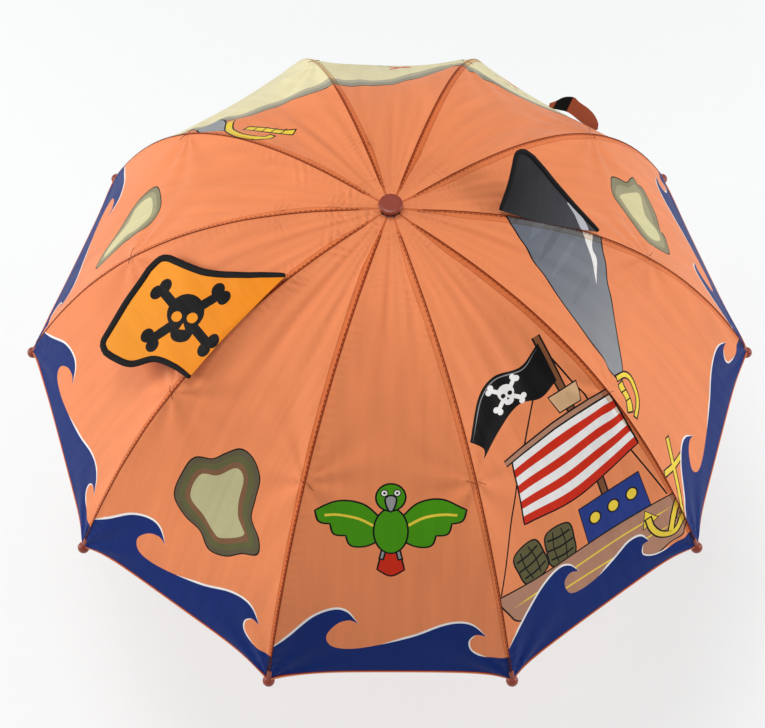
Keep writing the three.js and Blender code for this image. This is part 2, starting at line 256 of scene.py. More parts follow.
def rib_at(v):
    """Radius, height and direction of the rib's line at v; it runs straight past its ends."""
    v = np.asarray(v, float)
    over = v - np.clip(v, 0, RIB_LENGTH)
    point = [np.interp(v, rib_run, rib_curve[:, i]) for i in (0, 1)]
    slope = [np.interp(v, rib_run, rib_slope[:, i]) for i in (0, 1)]
    return point[0] + over * slope[0], point[1] + over * slope[1], slope[0], slope[1]


def beside_rib(v, lift):
    """Radius and height of a point above the rib's centre line."""
    radius, height, run, fall = rib_at(v)
    return radius - fall * lift, height + run * lift


def half_width(v):
    return rib_at(v)[0] * math.sin(HALF)


def eased(x):
    x = np.clip(x, 0, 1)
    return x * x * (3 - 2 * x)


def rib_angle(rib):
    return FIRST_RIB + PITCH * rib


def seam_fold(from_seam, reach):
    """Nothing on the seam, one at reach from it, and dying away beyond."""
    return from_seam / reach * np.exp(1 - from_seam / reach)


PUCKER = (0.4, 0.5, 0.3, 0.4, 0.5, 0.3, 0.6, 0.8, 0.9, 0.9)      # beside each rib


def wrinkles(gore, u, v, half):
    """Height of the cloth's small folds, nothing on the seams."""
    total = np.zeros(np.broadcast(u, v).shape)
    for side in (-1, 1):
        from_seam = np.maximum(half - side * u, 0)
        seed = 1.7 * gore + 0.9 * side
        drawn = PUCKER[(gore + (side > 0)) % GORES]
        pucker = np.sin(v * 0.9 + 2.5 * np.sin(0.13 * v + seed) + 0.3 * from_seam)
        patches = (0.5 + 0.5 * np.sin(0.16 * v + 3 * seed + np.sin(0.05 * v))) ** 2
        total += drawn * pucker * patches * seam_fold(from_seam, 6) * np.exp(-(((v - 60) / 60) ** 2))
        total += 0.2 * np.sin(v * 0.8 + 3 * np.sin(0.05 * v + seed)) * seam_fold(from_seam, 3.5)
        reach = np.hypot(from_seam, v - JOINT_AT)
        turn = np.arctan2(v - JOINT_AT, from_seam + 1)
        total += 1.1 * np.sin(7.5 * turn + seed * 2.3) * seam_fold(reach, 24) * np.tanh(from_seam / 7)
        reach = np.hypot(from_seam, v - HEM_CORNER)
        turn = np.arctan2(HEM_CORNER - v, from_seam + 1)
        total += 1.0 * np.sin(10 * turn + seed) * seam_fold(reach, 18) * np.tanh(from_seam / 5)
    across = u / half
    spokes = np.sin(9 * across + 2.1 * gore) + 0.8 * np.sin(17 * across + 0.8 * gore + 0.01 * v)
    total += 0.8 * spokes * (1 - across**2) * np.exp(-(((v - 110) / 95) ** 2))
    slack = np.sin(0.021 * v + 1.9 * gore) * np.sin(2.6 * across + 0.7 * gore)
    total += 1.6 * slack * (1 - across**2) * np.sin(math.pi * np.clip(v / RIB_LENGTH, 0, 1))
    return total


def canopy(gore):
    """The function that places a gore's flat points on the stretched canopy."""
    middle = rib_angle(gore + 0.5)

    def place(u, v, lift=0.0):
        radius, height, run, fall = rib_at(v)
        half = radius * math.sin(HALF)
        u = np.clip(u, -half, half)
        across = u / half
        sag = GORE_SAG * np.sin(math.pi * np.clip(v / RIB_LENGTH, 0, 1)) * (1 - across**2)
        rise = FABRIC_LIFT + CROWN_LIFT * (1 - eased((v - 3) / 20)) - sag + wrinkles(gore, u, v, half) + lift
        outward = middle + across * HALF
        inner = radius * math.cos(HALF)
        x = inner * math.cos(middle) - u * math.sin(middle) - fall * rise * np.cos(outward)
        y = inner * math.sin(middle) + u * math.cos(middle) - fall * rise * np.sin(outward)
        return np.column_stack([x, y, CROWN_HEIGHT + height + run * rise]) * MM

    return place


def hem_at(u_share):
    """v of the hem, which runs out to the ball tips in its corners."""
    return HEM_MIDDLE + (HEM_CORNER - HEM_MIDDLE) * np.abs(u_share) ** 5


def gore_outline(low, high):
    """Flat outline of a gore from v = low to v = high, or to the hem where high is None."""
    end = HEM_CORNER if high is None else high
    down = np.linspace(low, end, max(2, round((end - low) / 5)) + 1)
    share = np.linspace(-1, 1, max(6, 2 * round(float(half_width(end)) / 5)) + 1)
    top_share = np.linspace(-1, 1, max(4, 2 * round(float(half_width(low)) / 5)) + 1)
    last = hem_at(share) if high is None else np.full(len(share), float(high))
    left = np.column_stack([-half_width(down), down])
    bottom = np.column_stack([share * half_width(last), last])
    right = np.column_stack([half_width(down), down])[::-1]
    top = np.column_stack([top_share * half_width(low), np.full(len(top_share), float(low))])[::-1]
    return np.vstack([left[:-1], bottom[:-1], right[:-1], top[:-1]])


# ---------------------------------------------------------------- prints
def wave(first, second, third, run):
    """The printed sea along the hem: two curling crests edged with foam.

    run is the point of the second stroke from which the foam starts again.
    """
    low = 470                    # past the hem
    (x0, y0), (x1, y1) = first[0], third[-1]
    sea = cornered(first, second, third, ((x1, y1), (x1, low)), ((x1, low), (x0, low)), ((x0, low), (x0, y0)))
    foam = line(first[1:], 4.4, WHITE, 0.2) + line(second[run:], 4.4, WHITE, 0.2)
    return foam + line(third[1:5], 2.8, WHITE, 0.3) + [(sea, SEA_BLUE)]


PLAIN_WAVE = (
    ((-116, 418), (-107, 412), (-89, 397), (-68, 376), (-50, 368), (-38, 371), (-28, 384)),
    ((-28, 384), (-36, 380), (-47, 384), (-56, 397), (-51, 409), (-34, 412), (-8, 407), (20, 398), (44, 386),
     (60, 382), (72, 385), (83, 396)),
    ((83, 396), (74, 395), (68, 403), (71, 414), (84, 421), (107, 420), (116, 418)),
    6,
)
SHIP_WAVE = (
    ((-116, 424), (-103, 412), (-82, 394), (-54, 375), (-33, 368), (-21, 372), (-14, 384)),
    ((-14, 384), (-23, 380), (-31, 386), (-29, 400), (-16, 405), (3, 404), (23, 398), (41, 391),
     (54, 393), (61, 404)),
    ((61, 404), (54, 404), (51, 414), (62, 423), (80, 426), (99, 426), (116, 420)),
    5,
)


def hem_prints():
    """The turned orange edge with its dark stitched line."""
    share = np.linspace(-1.05, 1.05, 61)
    hem = hem_at(np.clip(share, -1, 1))
    edge = np.column_stack([share * half_width(hem), hem])

    def strip(inner, outer):
        return np.vstack([edge + (0, outer), (edge - (0, inner))[::-1]])

    return [(strip(1.9, 6), rgb(120, 34, 26)), (strip(1.0, 6), rgb(206, 104, 66))]


SEAM_SHADE = (1, 0.3, 0.9, 0.35, 0.35, 1, 0.8, 0.45, 0.3, 0.65)   # of each rib


def seam_prints(gore):
    """The seam allowance, which darkens a band beside one seam, and the narrow shade beside the other."""
    down = np.linspace(-5, HEM_CORNER + 8, 60)
    half = half_width(down)
    width = np.minimum(6.4, 0.32 * half) * np.interp(down, (0, 60, 330, 450), (1, 1, 0.7, 0.6))
    shade = SEAM_SHADE[(gore + 1) % GORES]

    def strip(side, outer, inner):
        return np.vstack([
            np.column_stack([side * (half + outer), down]),
            np.column_stack([side * (half - inner), down])[::-1],
        ])

    edge = np.array((0.8, 0.66, 0.55)) ** (0.7 + shade)
    fill = np.array((0.88, 0.72, 0.58)) ** (0.35 + shade)
    return [
        (strip(1, 3, width), tint(*edge)),
        (strip(1, 3, width - 0.8), tint(*(fill / edge))),
        (strip(1, 3, np.minimum(1.5, width / 3)), tint(*edge)),
        (strip(-1, 3, np.minimum(1.0, width / 3)), tint(0.8, 0.7, 0.62)),
    ]


def island(shore, core, rings):
    """An island seen from above: coloured rings between its shore and its core, with a line round it."""
    shore, core = smooth(shore, True), smooth(core, True)
    turn = np.linspace(0, 2 * math.pi, 72, endpoint=False)

    def by_angle(loop):
        arm = loop - shore.mean(0)
        angle = np.arctan2(arm[:, 1], arm[:, 0])
        order = np.argsort(angle)
        angle, length = angle[order], np.linalg.norm(arm, axis=1)[order]
        return np.interp(turn, angle, length, period=2 * math.pi)

    outer, inner = by_angle(shore), by_angle(core)
    prints = [(grown(shore, 1.2), BLACK)]
    for share, ink in rings:
        reach = outer + (inner - outer) * share
        prints.append((shore.mean(0) + np.column_stack([reach * np.cos(turn), reach * np.sin(turn)]), ink))
    return prints


NEAR_SHORE = (
    (5, 251), (19, 252), (31, 264), (35, 284), (39, 303), (53, 316), (57, 330), (43, 340), (30, 353),
    (13, 358), (-1, 346), (-20, 341), (-35, 328), (-35, 302), (-30, 283), (-15, 275), (-6, 263),
)
NEAR_CORE = (
    (8, 269), (18, 274), (22, 296), (28, 311), (39, 322), (20, 340), (11, 339), (-3, 330), (-21, 320),
    (-20, 295),
    (-5, 286),
)
FAR_SHORE = (
    (24, 251), (31, 258), (32, 268), (31, 282), (38, 293), (43, 303), (37, 308), (35, 320), (9, 324),
    (-14, 315),
    (-19, 320), (-44, 306), (-47, 290), (-46, 270), (-44, 260), (-24, 259), (-7, 254), (8, 245),
)
FAR_CORE = (
    (11, 259), (22, 288), (24, 304), (-2, 296), (-17, 306), (-31, 300), (-35, 276), (-17, 269), (3, 261),
)
LEFT_SHORE = (
    (5, 246), (28, 250), (36, 273), (39, 287), (59, 318), (37, 329), (11, 320), (-11, 311),
    (-22, 294), (-23, 271),
)
LEFT_CORE = ((12, 256), (27, 268), (29, 292), (46, 317), (30, 322), (9, 306), (-9, 301), (-13, 276))


def near_island():
    rings = (
        (0.0, rgb(92, 84, 62)), (0.3, rgb(94, 94, 58)), (0.66, rgb(124, 88, 62)), (1.0, rgb(184, 178, 134)),
    )
    return island(NEAR_SHORE, NEAR_CORE, rings)


def far_island(shore, core):
    rings = ((0.0, rgb(134, 128, 98)), (0.45, rgb(156, 150, 116)), (1.0, rgb(208, 200, 152)))
    return island(shore, core, rings)


def emblem(centre, up, size, ink, holes):
    """A plain skull over crossed bones; up points to its top, and size is a bone's reach from the middle."""
    up = np.array(up, float) / np.linalg.norm(up)
    right = np.array((up[1], -up[0]))

    def at(*points):
        return [np.array(centre) + size * (x * right + y * up) for x, y in points]

    tilt = math.atan2(right[1], right[0])
    prints = []
    for side in (-1, 1):
        ends = at((-side * 0.78, -0.56), (side * 0.78, 0.62))
        prints.append((band(np.array(ends), 0.25 * size), ink))
        for x, y in ((0.74, 0.76), (0.95, 0.58), (-0.94, -0.5), (-0.74, -0.72)):
            prints.append((ellipse(at((side * x, y))[0], 0.19 * size, 0.17 * size), ink))
    prints.append((ellipse(at((0, 0.14))[0], 0.52 * size, 0.46 * size, tilt, 28), ink))
    jaw = at((-0.3, -0.15), (0.3, -0.15), (0.26, -0.5), (0, -0.6), (-0.26, -0.5))
    prints.append((smooth(jaw, True), ink))
    for side in (-1, 1):
        prints.append((ellipse(at((side * 0.22, 0.02))[0], 0.15 * size, 0.13 * size, tilt, 14), holes))
    prints.append((np.array(at((0, -0.12), (0.09, -0.28), (-0.09, -0.28))), holes))
    return prints


def bird():
    """A plain parrot seen from the front, its wings spread alike on both sides."""
    wing = cornered(
        ((9, 276), (24, 262), (44, 258), (63, 266)),
        ((63, 266), (60, 276), (51, 279)), ((51, 279), (48, 289), (38, 291)),
        ((38, 291), (34, 301), (22, 302), (9, 296)), ((9, 296), (9, 276)),
    )
    stripe = ((14, 283), (28, 275), (44, 271), (56, 271))
    tail = cornered(
        ((-6, 304), (-11, 326)), ((-11, 326), (0, 332), (11, 326)), ((11, 326), (6, 304)), ((6, 304),
        (-6, 304)),
    )
    beak = ((-4, 257), (0, 255), (4, 257), (3, 264), (0, 269), (-3, 264))
    prints = outlined(tail, RED)
    for side in (np.array((-1, 1)), np.array((1, 1))):
        prints += outlined(wing * side, GREEN) + line(np.array(stripe) * side, 2.4, YELLOW)
        foot = np.array(((6, 306), (8, 315))) * side
        prints += bold((foot,), 2, GREY)
    prints += outlined(ellipse((0, 288), 14, 21, 0, 30), GREEN)
    prints += outlined(ellipse((0, 256), 12, 12, 0, 24), GREEN)
    prints += outlined(smooth(beak, True), GREY)
    for x in (-5.5, 5.5):
        prints += outlined(ellipse((x, 252), 2.6, 2.6, 0, 14), WHITE, 0.9)
        prints.append((ellipse((x, 252), 1.2, 1.2, 0, 8), BLACK))
    return prints


def stripes(top, bottom, inks):
    """Stripes between two edges, the second edge drawn in the same direction."""
    top, bottom = smooth(top), smooth(bottom)
    share = np.linspace(0, 1, max(len(top), len(bottom)))
    edges = [
        np.column_stack([np.interp(share, np.linspace(0, 1, len(edge)), edge[:, i]) for i in (0, 1)])
        for edge in (top, bottom)
    ]
    prints = []
    for index, ink in enumerate(inks):
        first, last = (edges[0] + (edges[1] - edges[0]) * part / len(inks) for part in (index, index + 1))
        prints.append((np.vstack([first, last[::-1]]), ink))
    return prints


def barrel(centre, tilt):
    """A barrel standing on the deck: staves with three hoops."""
    c, s = math.cos(tilt), math.sin(tilt)

    def at(points):
        return [(centre[0] + c * x - s * y, centre[1] + s * x + c * y) for x, y in points]

    staves = smooth(at(((-11, -17), (11, -17), (14, 0), (11, 17), (-11, 17), (-14, 0))), True)
    prints = outlined(staves, OLIVE)
    for row, reach in ((-10, 12.2), (0, 13.8), (10, 12.2)):
        prints += line(at(((-reach, row), (0, row + 1.6), (reach, row))), 2.0)
    for x in (-5, 4):
        prints += line(at(((x, -16), (x * 1.4, 0), (x, 16))), 1.2)
    return prints


def ship():
    """A plain old sailing ship: black flag, striped sail, mast, cabin, barrels and a plank hull."""
    hull = cornered(
        ((-97, 353), (-60, 361), (-28, 364), (37, 366), (85, 369), (110, 372)),
        ((110, 372), (108, 396), (96, 420)),
        ((96, 420), (30, 424), (-16, 412), (-53, 402), (-77, 394)),
        ((-77, 394), (-86, 386), (-90, 375), (-97, 353)),
    )
    ropes = (((36, 176), (-40, 268), (-92, 352)), ((38, 176), (62, 270), (90, 366)))
    prints = [part for rope in ropes for part in line(rope, 1.5)]
    prints += outlined(band(np.array(((37.0, 160.0), (34.0, 366.0))), 5.0), rgb(126, 78, 48))
    top, foot = ((-33, 246), (15, 240), (70, 240)), ((-46, 304), (10, 312), (78, 298))
    edge = cornered(top, (top[-1], foot[-1]), foot[::-1], (foot[0], top[0]))
    prints += [(grown(edge, OUTLINE), BLACK)] + stripes(top, foot, (WHITE, RED) * 4)
    prints += outlined(band(np.array(((-40.0, 243.0), (15.0, 238.5), (76.0, 237.0))), 4.2), BROWN)
    nest = np.array(((22, 214), (50, 214), (46, 231), (26, 231)), float)
    prints += outlined(nest, rgb(210, 170, 128))
    cloth_edge = cornered(
        ((36, 166), (14, 176), (-12, 170), (-34, 178), (-60, 206)),
        ((-60, 206), (-52, 218), (-56, 226)),
        ((-56, 226), (-28, 212), (-4, 204), (16, 210), (36, 204)),
        ((36, 204), (36, 166)),
    )
    prints.append((cloth_edge, BLACK))
    prints += line(((-57, 207), (-33, 181), (-12, 173), (14, 179), (33, 170)), 0.9, GREY, 0.2)
    prints += emblem((-10, 190), (0.1, -1), 15.5, WHITE, BLACK)
    cabin = np.array(((6, 326), (70, 326), (72, 366), (4, 366)), float)
    prints += outlined(cabin, rgb(34, 56, 132))
    for x in (18, 38, 58):
        prints += outlined(ellipse((x, 343), 5, 5.5, 0, 14), YELLOW)
    prints += barrel((-22, 346), 0.12) + barrel((-54, 342), -0.1)
    prints += outlined(hull, BROWN)
    prints += line(((-84, 373), (-25, 378), (40, 380), (92, 383)), 1.7, YELLOW, 0.1)
    prints += line(((-78, 388), (-20, 393), (40, 398), (90, 402)), 1.7, YELLOW, 0.1)
    return prints


def anchor():
    """A plain yellow anchor's arms in the corner of the ship's gore, its shank going on over the seam."""
    shank = ((112, 358), (98, 380), (84, 408))
    arms = ((66, 380), (67, 392), (73, 404), (84, 411), (94, 408), (101, 398))
    prints = []
    for tip in (((59, 388), (65, 370), (75, 384)), ((94, 399), (106, 386), (108, 405))):
        prints += outlined(np.array(tip, float), YELLOW)
    return prints + bold((shank, arms), 5, YELLOW)


def anchor_shank():
    """The anchor's shank and stock on the next gore."""
    shank = ((-58, 338), (-72, 356), (-90, 382), (-112, 412))
    stock = ((-90, 346), (-75, 359), (-58, 369))
    return bold((shank, stock), 5, YELLOW)


def blade():
    """The printed blade that carries on from the pop-up sword tip, with its yellow hilt by the next seam."""
    edge = cornered(
        ((46, 66), (31, 90), (18, 110), (-1, 138), (-19, 168), (-31, 195), (-40, 216), (-53, 247)),
        ((-53, 247), (-47, 254)),
        ((-47, 254), (-24, 242), (-3, 227), (22, 208), (43, 192), (66, 172)),
        ((66, 172), (90, 120), (46, 66)),
    )
    prints = outlined(edge, fade((25, 95), (-42, 240), rgb(98, 104, 116), rgb(140, 142, 146)), 1.3)
    for start, end, width, tone in (
        ((27, 100), (70, 106), 7, 0.8), ((20, 118), (62, 126), 8, 1.16), ((8, 134), (50, 142), 7, 0.84),
        ((-2, 150), (46, 160), 6, 1.12), ((-16, 178), (24, 186), 8, 0.92),
    ):
        prints.append((band(smooth((start, end)), width, 0.3), tint(tone, tone, tone)))
    shine = cornered(
        ((60, 156), (52, 161), (38, 178), (16, 195)), ((16, 195), (37, 186), (44, 178), (64, 166), (60, 156)),
    )
    prints.append((shine, WHITE))
    guard = ((-52, 246), (-42, 256), (-41, 268), (-52, 279), (-70, 281))
    grip = ((-53, 253), (-60, 264), (-70, 272))
    prints += bold((grip,), 7, YELLOW) + bold((guard,), 4, YELLOW)
    return prints + line(((-54, 262), (-61, 256)), 1.2) + line(((-59, 268), (-66, 262)), 1.2)


def parchment(border):
    """An old map's edge: cream paper from the border outwards, with a shaded rim."""
    edge = smooth(border)
    far = np.array(((130.0, 460.0), (-130.0, 460.0)))
    if border[0][0] > border[-1][0]:
        far = far[::-1]

    def below(shift):
        return np.vstack([edge + (0, shift), far])

    inks = ((-1.4, BLACK), (0, rgb(150, 146, 128)), (9, rgb(176, 170, 146)), (17, CREAM))
    return [(below(shift), ink) for shift, ink in inks]


def map_marks(cross, trail):
    """A red cross and a dashed trail on the map."""
    x, y = cross
    prints = []
    for way in (10, -10):
        prints += line(((x - way, y - 9), (x + way, y + 9)), 4.6, RED)
    path = smooth(trail, step=2.0)
    for start in range(0, len(path) - 3, 6):
        prints.append((band(path[start:start + 4], 2.2), rgb(88, 66, 46)))
    return prints


def cutlass():
    """A short cutlass printed across the back left gore: yellow guard, grey blade."""
    steel = cornered(
        ((36, 238), (43, 214), (49, 196)), ((49, 196), (64, 230)), ((64, 230), (60, 250)), ((60, 250),
        (40, 254)),
        ((40, 254), (36, 238)),
    )
    grip = ((10, 136), (20, 152), (34, 186))
    guard = ((34, 222), (44, 206), (48, 190), (48, 170), (42, 154), (34, 146), (27, 147))
    prints = outlined(steel, rgb(150, 154, 158)) + bold((guard, grip), 6, YELLOW)
    for row in (146, 156, 166, 176):
        x = 10 + (row - 136) * 0.48
        prints += line(((x - 4, row + 2), (x + 5, row - 2)), 1.3)
    return prints


PRINTS = {
    0: bird(),
    1: ship() + wave(*SHIP_WAVE) + anchor(),
    2: blade() + anchor_shank() + wave(*PLAIN_WAVE),
    3: far_island(FAR_SHORE, FAR_CORE),
    4: parchment(((90, 214), (66, 222), (40, 246), (15, 260), (-10, 280), (-40, 312), (-110, 352)))
    + map_marks((48, 330), ((70, 300), (40, 300), (0, 330), (-40, 350))),
    5: parchment(((-90, 216), (-64, 222), (-30, 200), (0, 185), (50, 165), (80, 158)))
    + map_marks((-10, 262), ((-2, 276), (20, 306), (-30, 332), (10, 356), (50, 350))),
    6: parchment(((-80, 160), (-50, 165), (-10, 200), (20, 215), (35, 235), (70, 262), (110, 330)))
    + cutlass(),
    7: far_island(LEFT_SHORE, LEFT_CORE),
    8: [],
    9: near_island(),
}


def gore_prints(gore):
    own = PRINTS[gore]
    return own + ([] if gore in (1, 2) else wave(*PLAIN_WAVE)) + hem_prints() + seam_prints(gore)


# ---------------------------------------------------------------- meshes
def mesh_piece(name, points, faces, material, normals=None):
    """A shaded mesh object from points in metres."""
    mesh = bpy.data.meshes.new(name)
    mesh.from_pydata([tuple(p) for p in points], [], [tuple(int(i) for i in f) for f in faces])
    mesh.materials.append(material)
    mesh.shade_smooth()
    if normals is not None:
        mesh.normals_split_custom_set_from_vertices([tuple(n) for n in normals])
    piece = bpy.data.objects.new(name, mesh)
    bpy.context.scene.collection.objects.link(piece)
    return piece


def fixed(piece, body, slot, *nodes):
    """Makes a piece move with a body, in place of the CAD nodes named; slot is not used."""
    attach(piece, body)
    if nodes:
        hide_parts(*nodes)


def cleaned(piece, weld=0.0, crease=None):
    """Joins points closer than weld, makes every face look outwards, and keeps angles above crease sharp."""
    work = bmesh.new()
    work.from_mesh(piece.data)
    if weld:
        bmesh.ops.remove_doubles(work, verts=work.verts, dist=weld)
    bmesh.ops.recalc_face_normals(work, faces=work.faces)
    work.to_mesh(piece.data)
    work.free()
    if crease:
        piece.data.shade_smooth()
        piece.data.set_sharp_from_angle(angle=math.radians(crease))


def joined(*parts):
    """Several (points, faces, normals) as one."""
    points, faces, normals, start = [], [], [], 0
    for part_points, part_faces, part_normals in parts:
        points.append(part_points)
        normals.append(part_normals)
        faces += [tuple(int(i) + start for i in face) for face in part_faces]
        start += len(part_points)
    return np.vstack(points), faces, np.vstack(normals)


def ring_faces(rings, sides):
    """Four-cornered faces between rings of points."""
    rows = range(0, (rings - 1) * sides, sides)
    corners = [(row + i, row + (i + 1) % sides) for row in rows for i in range(sides)]
    return [(a, b, b + sides, a + sides) for a, b in corners]


def tube(path, radii, sides=10, squeeze=1.0):
    """A closed tube along a path, in the path's units: radii are one number or one for each point."""
    path = np.asarray(path, float)
    radii = np.broadcast_to(np.asarray(radii, float), len(path))
    run = np.gradient(path, axis=0)
    run /= np.linalg.norm(run, axis=1, keepdims=True)
    side = np.cross(run[0], (0.0, 0.0, 1.0) if abs(run[0][2]) < 0.9 else (1.0, 0.0, 0.0))
    turn = np.linspace(0, 2 * math.pi, sides, endpoint=False)
    points, normals = [], []
    for here, direction, radius in zip(path, run, radii):
        side = side - direction * (side @ direction)
        side /= np.linalg.norm(side)
        other = np.cross(direction, side)
        ring = np.outer(np.cos(turn), side) + np.outer(np.sin(turn), other) * squeeze
        points.append(here + ring * radius)
        normals.append(ring)
    last = (len(path) - 1) * sides
    ends = [tuple(range(sides - 1, -1, -1)), tuple(range(last, last + sides))]
    return np.vstack(points), ring_faces(len(path), sides) + ends, np.vstack(normals)


def hex_grid(outline, spacing):
    """Points at an even spacing over an outline's bounding box."""
    low, high = outline.min(0), outline.max(0)
    points = []
    for index, row in enumerate(np.arange(low[1], high[1], spacing * 0.866)):
        start = low[0] + (index % 2) * spacing / 2
        points += [(x, row) for x in np.arange(start, high[0], spacing)]
    return np.array(points)


def gore_grid(outline):
    """Points for a gore: close together by the seams and near the crown, where its folds are small."""
    wide = hex_grid(outline, 5.5)
    near = hex_grid(outline, 3)
    parts = [wide[wide[:, 1] > 110], near[near[:, 1] <= 110]]
    low, high = outline[:, 1].min(), outline[:, 1].max()
    for from_seam in (1.3, 2.8, 4.8, 7.5, 11):
        down = np.arange(low, high, 2.6 if low < 100 else 4.5)
        half = half_width(down) - from_seam
        parts += [np.column_stack([side * half, down])[half > 0] for side in (-1, 1)]
    return np.vstack(parts)


def thinned(points, fixed, gap):
    """The points that are at least gap from every fixed one and from each other."""
    kept = []
    cells = set()
    for x, y in points:
        cell = (round(x / gap), round(y / gap))
        if cell not in cells:
            cells.add(cell)
            kept.append((x, y))
    kept = np.array(kept)
    clear = np.array([np.min(np.sum((fixed - point) ** 2, axis=1)) for point in kept])
    return kept[clear > gap**2]


def cut_flat(outline, prints, grid):
    """The flat outline in triangles whose edges follow every print: their points and corners."""
    loops = [outline] + [loop for loop, _ in prints]
    fixed = np.vstack(loops)
    edges, start = [], 0
    for loop in loops:
        count = len(loop)
        edges += [(start + i, start + (i + 1) % count) for i in range(count)]
        start += count
    inner = thinned(grid[inside(grid, outline)], fixed, 1.2)
    points = [Vector(p) for p in np.vstack([fixed, inner])]
    flat, _, faces, *_ = delaunay_2d_cdt(points, edges, [], 0, 1e-4, False)
    flat = np.array([tuple(p) for p in flat])
    faces = np.array([f for f in faces if len(f) == 3])
    faces = faces[inside(flat[faces].mean(1), outline)]
    used, index = np.unique(faces, return_inverse=True)
    return flat[used], index.reshape(-1, 3)


def print_colours(flat, faces, prints, base):
    """The colour at each corner of each triangle."""
    middles = flat[faces].mean(1)
    corners = flat[faces]
    colours = np.tile(base, (len(faces), 3, 1))
    for loop, ink in prints:
        covered = inside(middles, loop)
        if not covered.any():
            continue
        if callable(ink):
            under = colours[covered].reshape(-1, 3)
            colours[covered] = ink(corners[covered].reshape(-1, 2), under).reshape(-1, 3, 3)
        else:
            colours[covered] = ink
    return colours


def rim_edges(faces):
    """Edges that only one triangle has, in that triangle's direction."""
    edges = np.vstack([faces[:, (0, 1)], faces[:, (1, 2)], faces[:, (2, 0)]])
    key = np.sort(edges, axis=1)
    _, index, count = np.unique(key, axis=0, return_index=True, return_counts=True)
    return edges[index[count == 1]]


def surface_normals(place, flat, step=0.6):
    u, v = flat.T
    across = place(u + step, v) - place(u - step, v)
    down = place(u, v + step) - place(u, v - step)
    normals = np.cross(across, down)
    normals /= np.maximum(np.linalg.norm(normals, axis=1, keepdims=True), 1e-12)
    return normals


def printed_sheet(name, outline, prints, place, grid, base=ORANGE, extra=None, inner=UNDERSIDE_FADE):
    """A thin printed sheet: a flat outline cut along its prints, placed in space and given its two faces.

    extra is a (points, faces, normals) part, such as a hem bead, in the base colour, on the same mesh.
    """
    flat, faces = cut_flat(outline, prints, grid)
    colours = print_colours(flat, faces, prints, base)
    normals = surface_normals(place, flat)
    facing = 1 if normals[:, 2].mean() > 0 else -1
    normals *= facing
    if facing < 0:
        faces, colours = faces[:, ::-1], colours[:, ::-1]
    count = len(flat)
    u, v = flat.T
    points = np.vstack([place(u, v, CLOTH / 2), place(u, v, -CLOTH / 2)])
    under = colours[:, ::-1] * inner + base * 0.92 * (1 - inner)
    rim = rim_edges(faces)
    walls = np.column_stack([rim[:, 1], rim[:, 0], rim[:, 0] + count, rim[:, 1] + count])
    all_faces = [tuple(f) for part in (faces, faces[:, ::-1] + count, walls) for f in part]
    paint = [colours.reshape(-1, 3), under.reshape(-1, 3), np.tile(base * 0.8, (4 * len(walls), 1))]
    part = (points, all_faces, np.vstack([normals, -normals]))
    if extra is not None:
        part = joined(part, extra)
        corners = sum(len(f) for f in extra[1])
        paint.append(np.tile(base * 0.85, (corners, 1)))
    piece = mesh_piece(name, part[0], part[1], cloth, part[2])
    paint = np.vstack(paint)
    layer = piece.data.color_attributes.new("ink", "FLOAT_COLOR", "CORNER")
    layer.data.foreach_set("color", np.column_stack([paint, np.ones(len(paint))]).astype(np.float32).ravel())
    flat_all = np.zeros((len(part[0]), 2))
    flat_all[:count] = flat_all[count:2 * count] = flat
    loops = np.zeros(len(piece.data.loops), np.int32)
    piece.data.loops.foreach_get("vertex_index", loops)
    weave = piece.data.uv_layers.new(name="weave")
    weave.data.foreach_set("uv", (flat_all[loops] * MM).astype(np.float32).ravel())
    return piece


# ---------------------------------------------------------------- materials
def node_material(name):
    material = bpy.data.materials.new(name)
    material.use_nodes = True
    tree = material.node_tree
    shader = tree.nodes["Principled BSDF"]

    def add(kind, **inputs):
        node = tree.nodes.new(kind)
        for key, value in inputs.items():
            if hasattr(node, key):
                setattr(node, key, value)
            else:
                node.inputs[key.replace("_", " ")].default_value = value
        return node

    return material, tree.links.new, shader, add


def plain_set(shader, **values):
    for key, value in values.items():
        shader.inputs[key.replace("_", " ")].default_value = value


def mottled(add, link, source, coordinates, scale, low, high):
    """source's colour, darkened and lightened in soft patches."""
    noise = add("ShaderNodeTexNoise", Scale=scale, Detail=3.0)
    link(coordinates, noise.inputs["Vector"])
    spread = add("ShaderNodeMapRange", From_Min=0.3, From_Max=0.7, To_Min=low, To_Max=high)
    link(noise.outputs["Fac"], spread.inputs["Value"])
    scaled = add("ShaderNodeVectorMath", operation="SCALE")
    link(source, scaled.inputs[0])
    link(spread.outputs["Result"], scaled.inputs["Scale"])
    return scaled.outputs["Vector"]


def glossed(add, link, shader, source, low, high):
    """A roughness between low and high, as source goes from 0 to 1."""
    gloss = add("ShaderNodeMapRange", To_Min=low, To_Max=high)
    link(source, gloss.inputs["Value"])
    link(gloss.outputs["Result"], shader.inputs["Roughness"])


